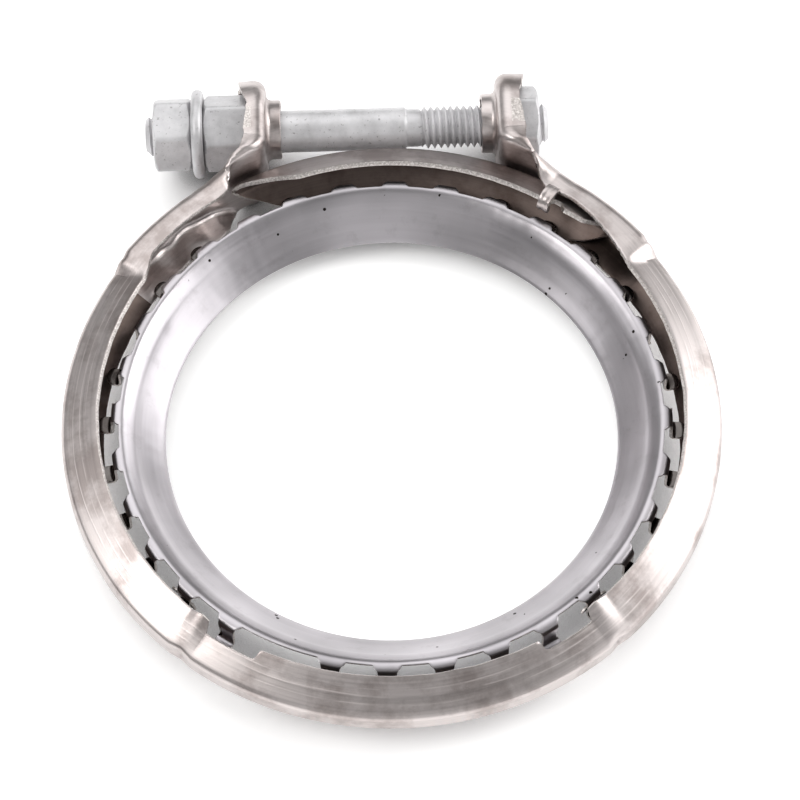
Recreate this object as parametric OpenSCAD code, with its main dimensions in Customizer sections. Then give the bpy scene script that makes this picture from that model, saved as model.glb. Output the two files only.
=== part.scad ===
// Exhaust clamp: a V-profile band of one folded sheet, a bridge segment under the
// gap, a spring-fingered gasket ring inside, and an M8 clamping bolt with its nuts.
// Millimetres, +Z along the pipe axis, origin on the axis in the middle of the band.
// The bolt runs along X on the +Y side.

/* [Band] */
// Diameter over the crown of the band
band_d = 118; // [108:1:130]
// Thickness of the band's sheet
sheet_t = 0.9; // [0.8:0.05:1.1]
// Flat width of the crown in the V arc
crown_w = 2.2; // [1.8:0.1:3]
// Bend radius between crown and leg, at the middle of the sheet
corner_r = 1.1; // [0.9:0.1:1.4]
// Angle that each leg turns in from the crown
leg_angle = 62.5; // [60:0.5:66]
// Straight length of each leg in the V arc
leg_len = 6.5; // [5.5:0.1:7]
// Half of the arc that keeps the full V, measured from the side opposite the bolt
vee_half_angle = 122; // [116:1:125]

/* [Bending notches] */
// Angle from the side opposite the bolt to the middle of each notch
notch_at = 32.5; // [25:0.5:40]
// Arc that each notch takes up
notch_arc = 11; // [8:0.5:14]
// Depth of the notch in the lip
notch_depth = 1.8; // [1:0.1:2.5]
// Angle from the side opposite the bolt to the pressed dent beside each notch
dent_at = 40; // [38:0.5:46]
// Arc from the middle of the dent to its end
dent_arc = 3; // [2:0.5:5]
// Depth of the dent
dent_depth = 0.7; // [0.3:0.1:1.2]

/* [Ears] */
// Distance between the facing sides of the two ears
ear_gap = 43.4; // [40:0.2:50]
// Height of the bolt axis over the crown
bolt_rise = 4; // [3.6:0.1:5]
// Height of the cup's centre over the bolt, which hangs low in the ear's hole
ear_lift = 0.5; // [0:0.1:0.6]
// Inner radius of the ear's cup around the hexagon
cup_r = 8.6; // [8.2:0.1:9.2]
// Bend radius round the cup's bottom, at the middle of the sheet
cup_corner_r = 2.2; // [1.4:0.1:2.4]
// Depth of the cup at its top, from the sheet's middle to its rim
cup_depth = 5.2; // [4.4:0.1:6]
// Depth of the cup at its sides, where the rim dips
cup_side_depth = 3.5; // [3:0.1:4.2]
// Radius of the bend from the band up to the ear
neck_r = 3; // [2.6:0.1:3.4]
// Outer diameter of the drawn collar around the bolt
collar_d = 11.2; // [10.6:0.1:12]
// Length of the drawn collar
collar_len = 2.7; // [2:0.1:4]

/* [Bridge segment] */
// Angle of the bridge's end under the ear on the bolt head's side
bridge_end_a = 119.5; // [117:0.5:122]
// Angle of the bridge's end on the captive nut's side
bridge_end_b = 42; // [41:0.5:48]
// Clearance between the bridge and the band
bridge_gap = 0.5; // [0.1:0.05:0.6]
// Angle that each leg of the bridge turns in from its crown
bridge_leg_angle = 58; // [55:0.5:62]
// Straight length of each leg of the bridge
bridge_leg_len = 5.6; // [5:0.1:6.5]
// Length of the narrow tongue at each end
tongue_len = 8; // [4:0.5:9]

/* [Gasket ring] */
// Thickness of the gasket's sheet
gasket_t = 0.5; // [0.4:0.05:0.6]
// Height of the bore's edge from the middle of the band
bore_z = -5.7; // [-6.5:0.1:-5]
// Height of the gasket's rim from the middle of the band
rim_z = 1.5; // [0.8:0.1:1.6]
// Radial width of the gasket, from its bore to its rim
ring_w = 7.7; // [7.3:0.1:8.1]
// Radial reach of each finger beyond the rim
finger_reach = 3.7; // [3.4:0.1:4]
// Number of finger places around the rim
finger_places = 32; // [24:1:36]
// Width of each finger
finger_w = 3.4; // [2.8:0.1:4]
// Angle of the first finger
finger_phase = 8.65; // [0:0.05:11]
// Place whose finger has broken off
lost_finger = 21; // [0:1:23]
// First of the places whose finger stays short, with no foot
first_short_finger = 1; // [0:1:23]
// Clearance between the fingers' tips and the bridge
finger_gap = 0.3; // [0.2:0.05:0.5]

/* [Bolt and nuts] */
// Thread size of the bolt and the nuts
thread_d = 8; // [7.6:0.1:8.2]
// Width across the flats of the head and both nuts
across_flats = 13; // [12.4:0.1:13.2]
// Length of the bolt's head
head_len = 10.8; // [9:0.1:12]
// Length of the threaded stub beyond the head
stub_len = 11.1; // [10:0.1:14]
// Length of the plain shank, from the head to the relief groove
shank_len = 27.4; // [24:0.1:30]
// Width of the relief groove at the start of the thread
groove_w = 2.4; // [1.5:0.1:3]
// Depth of the relief groove
groove_depth = 0.4; // [0.2:0.1:0.6]
// How far the bolt's tip stands out of the captive nut
tip_out = 1.8; // [1:0.1:4]
// Length of the captive nut
captive_len = 7.1; // [6:0.1:8]
// Diameter of the thick washer between the stub's nut and the head
washer_d = 16.9; // [16:0.1:18]
// Thickness of that washer
washer_t = 2.2; // [1.8:0.1:2.6]
// Length of the nut on the stub
stub_nut_len = 7.1; // [6:0.1:8]
// Radial clearance of the threads in the nuts
thread_gap = 0.05; // [0.03:0.01:0.1]
// Radial clearance of the bolt in the ears
bolt_gap = 0.8; // [0.7:0.05:0.9]
// Clearance under the bolt's head and under the captive nut
seat_gap = 0.1; // [0.05:0.05:0.15]
// Clearance on each face of the thick washer
washer_gap = 0.1; // [0.05:0.05:0.15]

/* [Hidden] */
$fn = 64;

// Steps of each bend in a folded sheet
bend_steps = 3;
// Steps of the loft along the wide channel, and its step along the V arc
loft_steps = 20;
vee_step = 0.033;
// How far a cutting solid reaches past what it cuts
over = 1;

band_r = band_d / 2;
band_mid_r = band_r - sheet_t / 2;
crown_half = crown_w / 2;
vee_start = 270 - vee_half_angle;
bolt_y = band_r + bolt_rise;
ear_mid_x = (ear_gap + sheet_t) / 2;
ear_seat_x = ear_gap / 2 + sheet_t;
ear_y = bolt_y + ear_lift;
cup_half = cup_r + sheet_t / 2 - cup_corner_r;
bolt_hole_r = thread_d / 2 + bolt_gap;

// Centre of the bend from the band up to the left ear, which touches both
neck_x = -ear_mid_x - neck_r;
neck_y = sqrt(pow(band_mid_r + neck_r, 2) - pow(neck_x, 2));
neck_angle = atan2(neck_y, neck_x);
// Height over the neck at which the cup has its full depth
cup_rise = 2.5;
cup_start_y = neck_y + cup_rise;
// Half of the flat crown and straight length of each leg in the wide channel
wide_half = 3.8;
wide_leg = leg_len / 2;
// Lengths over which the rim rises again above and below its dip
rim_rise = 5;
rim_fall = 10;
// How far the cut of the dip reaches past the rim
rim_margin = 0.1;

// Bridge: the same V, one sheet further in
bridge_r = band_r - sheet_t - bridge_gap;
bridge_mid_r = bridge_r - sheet_t / 2;
bridge_crown_step = 0.2;
bridge_crown_half = crown_half - bridge_crown_step;
// Radius at which the tongue's legs are cut
tongue_edge = 1;
tongue_r = bridge_mid_r - corner_r - tongue_edge;

// Radial clearance of the washer on the stub
washer_hole_gap = 0.2;

// Hexagons
head_face_x = -ear_seat_x - seat_gap;
head_end_x = head_face_x - head_len;
captive_face_x = ear_seat_x + seat_gap;
bolt_tip_x = captive_face_x + captive_len + tip_out;
// Step in from the flats to the round face at each end
hex_bevel = 0.2;
// Turns of the three hexagons about the bolt's axis
head_turn = -7.4;
captive_turn = -5;
stub_nut_turn = -18.6;

// Gasket's section
lip_w = 1.4;
lip_rise = 1.7;
bead_w = 1.5;
bead_rise = 0.5;
finger_bend_r = 1;
foot_bend_r = 0.8;
finger_drop = 3.1;
finger_lean = 0.4;
foot_z = rim_z - finger_bend_r - finger_drop - foot_bend_r;
finger_corner_r = 1.1;
window_corner_r = 0.8;
// The tip keeps its clearance from the inner face of the bridge's leg
leg_normal = [cos(bridge_leg_angle), sin(bridge_leg_angle)];
bridge_leg_point = [bridge_mid_r - corner_r, bridge_crown_half] + (corner_r - sheet_t / 2) * leg_normal;
tip_low_z = -foot_z + gasket_t / 2;
tip_r = bridge_leg_point[0]
  - (finger_gap + leg_normal[1] * (tip_low_z - bridge_leg_point[1])) / leg_normal[0];
rim_r = tip_r - finger_reach;
bore_r = rim_r - ring_w;
finger_pitch = 360 / finger_places;
// Places of the short fingers, counted from the first of them
short_fingers = [for (i = [0, 5, 6, 9, 12]) first_short_finger + i];

// Unit vector along v
function unit(v) = v / norm(v);

// Normal to the left of the step from a to b
function step_normal(a, b) = let (d = unit(b - a)) [-d[1], d[0]];

// Mitred normal of a line at its point i
function line_normal(line, i) =
  i == 0 ? step_normal(line[0], line[1])
  : i == len(line) - 1 ? step_normal(line[i - 1], line[i])
  : let (a = step_normal(line[i - 1], line[i]), b = step_normal(line[i], line[i + 1])) (a + b) / (1 + a * b);

// Closed outline of a sheet of thickness t along a line
function thicken(line, t) = concat(
  [for (i = [0:len(line) - 1]) line[i] - t / 2 * line_normal(line, i)],
  [for (i = [len(line) - 1:-1:0]) line[i] + t / 2 * line_normal(line, i)]);

// Points of an arc
function arc(centre, r, from, to, steps) =
  [for (i = [0:steps]) let (a = from + (to - from) * i / steps) centre + r * [cos(a), sin(a)]];

// Half of the channel's middle line, as [offset from the crown, z]: a flat crown
// and a leg that turns in by b, or out where b is negative, with a bend radius r
function channel_half(flat, b, len, r) = let (
  s = b < 0 ? -1 : 1,
  bend = [for (i = [0:bend_steps]) let (a = b * i / bend_steps)
    [-s * r * (1 - cos(a)), flat + s * r * sin(a)]])
  concat(bend, [bend[bend_steps] + len * [-sin(b), cos(b)]]);

function channel_line(flat, b, len, r) = let (half = channel_half(flat, b, len, r)) concat(
  [for (i = [bend_steps + 1:-1:0]) [half[i][0], -half[i][1]]], half);

function channel_section(flat, b, len, r = corner_r) = thicken(channel_line(flat, b, len, r), sheet_t);

// Place of the band's middle line on its way to the left ear, and the direction of
// its outer side: -1 to 0 is the V arc from the side opposite the bolt, 0 to 1 the
// wider channel, 1 to 2 the neck and 2 to 3 the way up the ear
function way_angle(u) = u < 0 ? vee_start - vee_half_angle * u
  : u < 1 ? vee_start + (neck_angle - vee_start) * u
  : neck_angle + (180 - neck_angle) * min(1, u - 1);

// Depth of the pressed dent beside each notch
function dent(u) = u < 0 ? dent_depth * max(0, 1 - abs(dent_at - vee_half_angle * (1 + u)) / dent_arc) : 0;

function way_point(u) = let (a = way_angle(u))
  u < 1 ? (band_mid_r - dent(u)) * [cos(a), sin(a)]
  : [neck_x, neck_y] - neck_r * [cos(a), sin(a)] + [0, max(0, u - 2) * (cup_start_y - neck_y)];

// Section on that way: the V opens to a wide channel, flattens, and turns out to the cup
function way_flat(u) = lookup(u, [[0, crown_half], [0.1, wide_half], [0.66, wide_half], [0.81, cup_half],
  [1, cup_half], [3, cup_half]]);

function way_corner(u) = lookup(u, [[0.66, corner_r], [1, cup_corner_r]]);

function way_bend(u) = lookup(u, [[0, leg_angle], [0.1, 80], [0.66, 76],
  [0.74, 45], [0.81, 4], [0.82, -4], [0.9, -45], [1, -70], [2, -80], [3, -90]]);

// Place of the notch on the way, as two values of u
notch_far = (notch_at - notch_arc / 2) / vee_half_angle - 1;
notch_near = (notch_at + notch_arc / 2) / vee_half_angle - 1;
notch_end = 0.5 / vee_half_angle;
notched_leg = leg_len - notch_depth / sin(leg_angle);
cup_leg = cup_depth - cup_corner_r;

function way_leg(u) = lookup(u, [[notch_far - notch_end, leg_len], [notch_far, notched_leg],
  [notch_near, notched_leg], [notch_near + notch_end, leg_len], [0, leg_len], [0.1, wide_leg],
  [0.74, wide_leg], [0.9, 0.8 * cup_leg], [2, 0.9 * cup_leg], [3, cup_leg]]);

// Places from a up to b, without b, at most one step apart
function span(a, b, step) = let (n = ceil((b - a) / step)) [for (i = [0:n - 1]) a + (b - a) * i / n];

way_stations = concat(span(-1, notch_far - notch_end, vee_step), span(notch_far - notch_end, notch_far, 1),
  span(notch_far, notch_near, vee_step), span(notch_near, notch_near + notch_end, 1),
  span(notch_near + notch_end, 0, vee_step), span(0, 1, 1 / loft_steps), span(1, 2, 0.25), [2, 2.5, 3]);

function way_ring(u, side) = let (p = way_point(u), a = way_angle(u))
  [for (q = channel_section(way_flat(u), way_bend(u), way_leg(u), way_corner(u)))
    [side * (p[0] + q[0] * cos(a)), p[1] + q[0] * sin(a), q[1]]];

last_station = len(way_stations) - 1;
band_rings = concat([for (i = [last_station:-1:1]) way_ring(way_stations[i], 1)],
  [for (u = way_stations) way_ring(u, -1)]);

// Solid skin over rings of the same number of points, each a thickened line
module loft(rings) {
  n = len(rings[0]);
  last = (len(rings) - 1) * n;
  sides = [for (j = [0:len(rings) - 2]) for (i = [0:n - 1]) let (k = j * n, m = (i + 1) % n)
    each [[k + i, k + n + m, k + n + i], [k + i, k + m, k + n + m]]];
  first_cap = [for (i = [0:n / 2 - 2])
    each [[i, n - 2 - i, i + 1], [i, n - 1 - i, n - 2 - i]]];
  last_cap = [for (t = first_cap) [last + t[2], last + t[1], last + t[0]]];
  polyhedron(points = [for (ring = rings) each ring], faces = concat(first_cap, sides, last_cap));
}

// The bridge's V section swept round the axis
module bridge_arc() {
  rotate([0, 0, bridge_end_b])
    rotate_extrude(angle = bridge_end_a - bridge_end_b, $fn = 120)
      polygon([for (q = channel_section(bridge_crown_half, bridge_leg_angle, bridge_leg_len))
        [bridge_mid_r + q[0], q[1]]]);
}

// A sector that cuts everything nearer to the axis than r
module inner_cut(r, from, to) {
  rotate([0, 0, from])
    rotate_extrude(angle = to - from, $fn = 180)
      translate([r - 2 * leg_len, -band_r / 2])
        square([2 * leg_len, band_r]);
}

// Cup of the left ear: a straight part up to its centre, then a half turn round it
module ear_cup() {
  half = channel_half(cup_half, -90, cup_leg, cup_corner_r);
  translate([-ear_mid_x, ear_y, 0])
    rotate([90, 0, 0])
      linear_extrude(height = ear_y - cup_start_y)
        polygon([for (q = channel_section(cup_half, -90, cup_leg, cup_corner_r)) [-q[0], q[1]]]);
  translate([-ear_mid_x, ear_y, 0])
    rotate([0, -90, 0])
      rotate_extrude(angle = 180)
        polygon([for (q = thicken(concat([[0, 0]], half), sheet_t)) [q[1], q[0]]]);
}

// The dip of the left cup's rim at its sides, cut through both walls
module rim_dip() {
  deep = cup_depth - cup_side_depth;
  more = 1 + rim_margin / deep;
  translate([-ear_mid_x - cup_side_depth, ear_y, 0])
    linear_extrude(height = band_r, center = true)
      polygon([[0, 0], [-deep * more, rim_rise * more], [-deep * more, -rim_fall * more]]);
}

// Cup and collar of the left ear
module left_ear() {
  ear_cup();
  translate([-ear_mid_x, ear_y, 0])
    rotate([0, 90, 0])
      cylinder(d = collar_d, h = sheet_t / 2 + collar_len);
}

module clamp_band() {
  hole_end = ear_mid_x + sheet_t + over;
  color("#b9b1ad")
    difference() {
      union() {
        loft(band_rings);
        left_ear();
        mirror([1, 0, 0])
          left_ear();
      }
      translate([-hole_end, ear_y, 0])
        rotate([0, 90, 0])
          cylinder(r = bolt_hole_r, h = 2 * hole_end);
      rim_dip();
      mirror([1, 0, 0])
        rim_dip();
    }
}

module bridge_segment() {
  tongue_arc = tongue_len / bridge_r * 180 / PI;
  color("#8f8783")
    difference() {
      bridge_arc();
      inner_cut(tongue_r, bridge_end_a - tongue_arc, bridge_end_a + over);
      inner_cut(tongue_r, bridge_end_b - over, bridge_end_b + tongue_arc);
    }
}

// Middle line of the gasket's section, from its bore to the tip of a finger
gasket_line = concat(
  [[bore_r, bore_z],
   [bore_r + lip_w, bore_z + lip_rise],
   [rim_r - bead_w, rim_z - bead_rise]],
  arc([rim_r, rim_z - finger_bend_r], finger_bend_r, 90, 10, bend_steps),
  arc([rim_r + finger_bend_r + finger_lean + foot_bend_r, foot_z + foot_bend_r],
    foot_bend_r, 190, 270, bend_steps),
  [[tip_r, foot_z]]);

// Plan of one short finger, cut off before its foot
module short_finger_plan() {
  translate([rim_r - bead_w / 2 - over, -finger_w / 2])
    square([finger_bend_r + bead_w / 2 + over, finger_w]);
}

// Plan of one finger, with a rounded end and rounded roots
module finger_plan() {
  half = finger_w / 2;
  root = rim_r - bead_w / 2;
  translate([root - over, -half])
    square([tip_r - finger_corner_r - root + over, finger_w]);
  translate([tip_r - 2 * finger_corner_r, finger_corner_r - half])
    square([2 * finger_corner_r, finger_w - 2 * finger_corner_r]);
  for (side = [-1, 1]) {
    translate([tip_r - finger_corner_r, side * (half - finger_corner_r)])
      circle(r = finger_corner_r, $fn = 32);
    difference() {
      translate([root - over, side > 0 ? 0 : -half - window_corner_r])
        square([window_corner_r + over, half + window_corner_r]);
      translate([root + window_corner_r, side * (half + window_corner_r)])
        circle(r = window_corner_r, $fn = 32);
    }
  }
}

module gasket_ring() {
  color("#cfcbc9")
    intersection() {
      rotate_extrude($fn = 180)
        polygon(thicken(gasket_line, gasket_t));
      translate([0, 0, -band_r / 2])
        linear_extrude(height = band_r) {
          circle(r = rim_r - bead_w / 2, $fn = 180);
          for (i = [0:finger_places - 1])
            rotate([0, 0, finger_phase + i * finger_pitch])
              if (len(search(i, short_fingers)) > 0)
                short_finger_plan();
              else if (i != lost_finger)
                finger_plan();
        }
    }
}

// A hexagon of a length along X from x, with both ends chamfered
module hex_bar(x, length, turn) {
  reach = across_flats;
  face_r = across_flats / 2 - hex_bevel;
  rise = (reach - face_r) * tan(30);
  translate([x, bolt_y, 0])
    rotate([0, 90, 0])
      intersection() {
        rotate([0, 0, turn])
          cylinder(d = across_flats / cos(30), h = length, $fn = 6);
        rotate_extrude()
          polygon([[0, -over], [face_r - over / tan(30), -over], [reach, rise],
            [reach, length - rise], [face_r - over / tan(30), length + over], [0, length + over]]);
      }
}

// A round bar along the bolt's axis with a bevel at each end
module bolt_bar(from, to, r, bevel_from, bevel_to) {
  translate([from, bolt_y, 0])
    rotate([0, 90, 0])
      rotate_extrude()
        polygon([[0, 0], [r - bevel_from, 0], [r, bevel_from],
          [r, to - from - bevel_to], [r - bevel_to, to - from], [0, to - from]]);
}

module clamp_bolt() {
  bevel = 0.9;
  shank_end = head_face_x + shank_len;
  groove_end = shank_end + groove_w;
  r = thread_d / 2;
  color("#c8c9cb") {
    bolt_bar(head_end_x - stub_len, head_end_x + over, r, bevel, 0.1);
    hex_bar(head_end_x, head_len, head_turn);
    bolt_bar(head_face_x - over, shank_end, r, 0.1, 0.3);
    bolt_bar(shank_end - over, groove_end + over, r - groove_depth, 0.1, 0.1);
    bolt_bar(groove_end, bolt_tip_x, r, 0.3, bevel);
  }
}

// Bore of a nut along the bolt's axis
module thread_bore(from, to) {
  translate([from - over, bolt_y, 0])
    rotate([0, 90, 0])
      cylinder(r = thread_d / 2 + thread_gap, h = to - from + 2 * over);
}

module captive_nut() {
  color("#cfd0d2")
    difference() {
      hex_bar(captive_face_x, captive_len, captive_turn);
      thread_bore(captive_face_x, captive_face_x + captive_len);
    }
}

module nut_washer() {
  rim = washer_t / 2;
  color("#d0d1d3")
    translate([head_end_x - washer_gap, bolt_y, 0])
      rotate([0, -90, 0])
        rotate_extrude()
          translate([thread_d / 2 + washer_hole_gap, 0])
            polygon(concat([[0, 0]],
              arc([washer_d / 2 - thread_d / 2 - washer_hole_gap - rim, rim], rim, -90, 90, 8),
              [[0, washer_t]]));
}

module stub_nut() {
  face = head_end_x - 2 * washer_gap - washer_t;
  color("#d4d5d7")
    difference() {
      hex_bar(face - stub_nut_len, stub_nut_len, stub_nut_turn);
      thread_bore(face - stub_nut_len, face);
    }
}

clamp_band();
bridge_segment();
gasket_ring();
clamp_bolt();
captive_nut();
nut_washer();
stub_nut();
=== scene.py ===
import math

import bpy
import bmesh
import numpy as np
from mathutils import Matrix, Vector, noise


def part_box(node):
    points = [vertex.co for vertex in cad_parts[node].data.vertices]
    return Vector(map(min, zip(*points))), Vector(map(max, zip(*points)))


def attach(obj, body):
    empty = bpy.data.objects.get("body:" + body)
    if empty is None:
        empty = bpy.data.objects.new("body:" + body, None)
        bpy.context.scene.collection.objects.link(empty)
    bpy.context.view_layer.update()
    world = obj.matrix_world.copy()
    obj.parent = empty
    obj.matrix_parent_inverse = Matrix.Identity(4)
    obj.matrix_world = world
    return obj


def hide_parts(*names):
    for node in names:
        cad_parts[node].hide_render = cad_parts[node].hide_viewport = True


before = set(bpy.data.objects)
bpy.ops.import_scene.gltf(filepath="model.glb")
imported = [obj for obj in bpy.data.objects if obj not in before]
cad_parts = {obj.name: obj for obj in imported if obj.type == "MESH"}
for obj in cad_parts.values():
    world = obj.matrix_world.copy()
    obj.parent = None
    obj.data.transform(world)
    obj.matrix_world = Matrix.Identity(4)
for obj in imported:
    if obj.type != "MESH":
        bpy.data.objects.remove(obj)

bl_info = {
    "name": "Exhaust clamp",
    "version": (1, 0, 0),
    "blender": (4, 5, 0),
    "location": "View3D > Sidebar > Clamp",
    "description": "Builds a V-band exhaust clamp around its packed CAD frame",
    "category": "Object",
}

# All lengths below are millimetres; meshes are scaled to metres when they are made
MM = 0.001


def node_box(name):
    """Lowest and highest corner of a CAD node, in millimetres."""
    low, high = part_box(name)
    return np.array(low) / MM, np.array(high) / MM


BAND_LOW, BAND_HIGH = node_box("clamp_band")
BOLT_LOW, BOLT_HIGH = node_box("clamp_bolt")
WASHER_LOW, WASHER_HIGH = node_box("nut_washer")
NUT_LOW, NUT_HIGH = node_box("stub_nut")
CAPTIVE_LOW, CAPTIVE_HIGH = node_box("captive_nut")
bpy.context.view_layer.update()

# The way along the band, as in the CAD: -1 to 0 is the V arc from the side opposite
# the bolt, 0 to 1 the wide channel, 1 to 2 the neck up to the ear's foot
VEE_HALF_ANGLE = 122.0
VEE_START = 270.0 - VEE_HALF_ANGLE
CORNER_R = 1.1
LEG_ANGLE = 62.5
LEG_LEN = 6.5
NECK_R = 3.0

# Bending notches cut in the lips, and the kinks pressed beside them
NOTCH_AT = 32.5
NOTCH_ARC = 11.0
NOTCH_DEPTH = 1.8
KINK_AT = 40.0
KINK_ARC = 2.4
KINK_DEPTH = 0.75
KINK_ON_LEGS = 0.6
KINK_WIDENS = 0.35
KINK_OPENS = 5.0

# Wide channel: the crown is dented in front where the channel starts, and the left one is crumpled
MOUTH_DENT = 0.3
MOUTH_AT = 0.075
MOUTH_HALF = 0.055
CRUMPLE_AT = 133.0
CRUMPLE_HALF = 13.0
CRUMPLE_DEPTH = 0.55
CRUMPLE_SIZE = 10 / 3
# Unevenness of the whole sheet: depth and size of its waves
SHEET_WAVES = ((0.05, 100 / 9), (0.02, 2.5))

# Radii of the scored lines round the band's legs
LINE_RADII = (56.8, 55.5, 54.4)

# Ears: a web round the bolt's hole, and a cup wall that leans in a little
CUP_STEP = 2.5
CUP_CORNER_R = 2.2
CUP_LEAN = 0.25
EAR_LIFT = 0.5
EAR_GAP = 0.1
FOOT_LIFT = 0.3
COLLAR_WALL = 0.8

# Radius of the circle in the hollow of the band's and of the bridge's channel
BAND_HOLLOW_R = 52
BRIDGE_HOLLOW_R = 50

# Steps over a section's flat, its folds and its straight legs
FLAT_STEPS = 4
FOLD_STEPS = 6
LEG_STEPS = 10

# Bridge segment
BRIDGE_GAP = 0.5
BRIDGE_NARROWER = 0.2
BRIDGE_TIP_R = 2.5
BRIDGE_LEG_ANGLE = 58.0
BRIDGE_LEG_LEN = 5.6
BRIDGE_END_A = 119.5
BRIDGE_END_B = 42.0
# Share of the legs over the distance from the tongue's tip and from the crimped end, back and front
BRIDGE_LEGS_TONGUE = {-1: [(0, 0), (1.0, 0.04), (4, 0.38), (7.5, 0.8), (10, 1)],
                      1: [(0, 0), (1.0, 0.04), (5.5, 0.42), (8, 0.62), (11, 0.95), (12.5, 1)]}
BRIDGE_LEGS_CRIMP = {-1: [(0, 0), (1.0, 0.05), (4, 0.6), (8, 1)],
                     1: [(0, 0), (1.0, 0.05), (2.5, 0.45), (4.2, 0.8), (9.0, 0.95), (9.6, 0.7), (11.5, 0.7),
                         (12.4, 1)]}
# The band's lip clinched over the bridge's crimped end: (radius, z) across, and its two angles
CLINCH_PATH = [(54.6, 5.8), (53.9, 6.15), (53.0, 6.25), (52.1, 6.1), (51.35, 5.7), (50.95, 5.0),
               (50.85, 4.2), (51.0, 3.5)]
CLINCH_ANGLES = (53.4, 55.9)

# Gasket ring, as (radius, z) from its bore to the place where the windows start
RING_LINE = [(41.0, -5.65), (41.5, -5.2), (42.0, -4.72), (42.5, -4.3), (43.3, -3.5), (44.1, -2.7),
             (44.9, -1.85), (45.6, -1.1), (46.0, -0.55), (46.4, -0.02), (47.0, 0.5), (47.5, 0.95),
             (48.0, 1.35), (48.4, 1.55), (48.8, 1.55)]
# Middle line of a finger from there to its tip
FINGER_LINE = [(48.8, 1.55), (49.3, 1.5), (49.7, 1.36), (50.0, 1.05), (50.1, 0.5), (50.1, -0.3),
               (50.1, -1.2), (50.1, -2.0), (50.15, -2.7), (50.35, -3.05), (50.65, -3.22), (51.3, -3.25),
               (52.1, -3.15), (53.0, -3.05)]
FINGER_PLACES = 32
FINGER_PHASE = 8.65
FINGER_FLARE = 0.8
FINGER_WAIST = 0.25
FINGER_TIP_R = 1.1
FINGER_ACROSS = np.linspace(-1, 1, 11)
LOST_FINGER = 21
SHORT_FINGERS = (1, 6, 7, 10, 13)
SHORT_BY = 4
# A barb at a finger's side: radii of its top and foot, degrees from the side, z of its top and foot
BARBED_FINGERS = (15, 19, 23, 27, 31)
BARB = (((50.05, 50.1), 0.0, (0.1, -0.9)), ((50.15, 50.15), 0.75, (-0.1, -0.8)),
        ((50.3, 50.3), 1.5, (-0.45, -0.6)))

# Bolt and nuts, with their turns about the bolt's axis in degrees
HEAD_TURN = -7.4
CAPTIVE_TURN = -5.0
STUB_NUT_TURN = -18.6
HEAD_LEN = 10.8
SHANK_LEN = 27.4
GROOVE_W = 2.4
GROOVE_DEPTH = 0.4
THREAD_DEPTH = 0.6134
THREAD_PLAY = 0.05
WASHER_PLAY = 0.2
SEAT_GAP = 0.1
HEX_CHAMFER = 28.0
HEX_INSET = 0.25
TURN_STEPS = 72

# Camera of the photograph
CAMERA_DISTANCE = 0.5
CAMERA_ELEVATION = 61.3
OBJECT_TURN = 1.0
CAMERA_ROLL = 0.9
CAMERA_LENS = 125.5
CAMERA_SHIFT = (0.0106, 0.0241)

# The studio round the object: a grey room with bright walls, each a direction, the cosines
# where it starts and where it is full, and how much brighter it is
ROOM_LEVEL = 0.31
ROOM_WALLS = (((0.93, 0.1, 0.12), 0.72, 0.9, 2.1), ((-0.75, -0.05, 0.66), 0.9, 0.98, 1.4),
              ((-0.15, 0.5, 0.85), 0.8, 0.98, 1.4), ((0.0, -0.93, 0.35), 0.75, 0.95, 0.4))
# Half the floor's side, in metres
FLOOR_HALF = 3.0


def linear(colour):
    """Linear RGBA of an sRGB hex colour."""
    values = [int(colour[i:i + 2], 16) / 255 for i in (1, 3, 5)]
    return [v / 12.92 if v <= 0.04045 else ((v + 0.055) / 1.055) ** 2.4 for v in values] + [1.0]


def length_prop(label, about, value):
    return bpy.props.FloatProperty(name=label, description=about, default=value * MM, min=0.0,
                                   unit="LENGTH", precision=5)


def colour_prop(label, about, value):
    return bpy.props.FloatVectorProperty(name=label, description=about, size=4, subtype="COLOR",
                                         default=linear(value), min=0.0, max=1.0)


class ClampSizes(bpy.types.PropertyGroup):
    """Sizes of the clamp."""
    sheet: length_prop("Band sheet", "Thickness of the band's and the bridge's sheet", 0.9)
    crown_width: length_prop("Crown width", "Flat width of the crown in the V arc", 2.2)
    cup_radius: length_prop("Cup radius", "Inner radius of the ear's cup", 8.6)
    collar_diameter: length_prop("Collar diameter", "Outer diameter of the drawn collar", 11.2)
    collar_length: length_prop("Collar length", "Length of the drawn collar", 2.7)
    gasket_sheet: length_prop("Gasket sheet", "Thickness of the gasket's sheet", 0.5)
    finger_width: length_prop("Finger width", "Width of each gasket finger", 3.4)
    thread_diameter: length_prop("Thread diameter", "Outer diameter of the thread", 8.0)
    thread_pitch: length_prop("Thread pitch", "Pitch of the thread", 1.25)
    across_flats: length_prop("Across flats", "Width of the hexagons across their flats", 13.0)
    raggedness: length_prop("Edge raggedness", "Unevenness of the sheared edges", 0.12)


class ClampColours(bpy.types.PropertyGroup):
    """Colours of the clamp."""
    band: colour_prop("Band", "Stainless sheet of the band, outside", "#cdc5c3")
    # The inside colour is painted shade: the same sheet as outside, darkened for the channels' hollows
    band_inside_shade: colour_prop("Band inside", "Stainless sheet of the band, inside", "#6e625d")
    gasket: colour_prop("Gasket", "Bright stainless sheet of the gasket", "#c0bcc0")
    finger: colour_prop("Fingers", "Stainless sheet of the gasket's fingers, in the band's shade", "#6a6664")
    zinc: colour_prop("Zinc", "Zinc plate of the bolt and nuts", "#dad9db")
    edge: colour_prop("Sheared edge", "Bare metal of the sheared edges", "#cfc8c4")
    floor: colour_prop("Floor", "Floor and backdrop", "#ffffff")


# Small maths

def mm(value):
    """A length property in millimetres."""
    return value / MM


def per(size):
    """Scale of a pattern whose marks are a size in millimetres."""
    return 1 / (size * MM)


def interpolate(u, table):
    """Value at u in a table of (place, value), in straight steps."""
    return float(np.interp(u, [row[0] for row in table], [row[1] for row in table]))


def ramp(a, b, x):
    """Smooth step from 0 at a to 1 at b."""
    t = min(1.0, max(0.0, (x - a) / (b - a)))
    return t * t * (3 - 2 * t)


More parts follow.
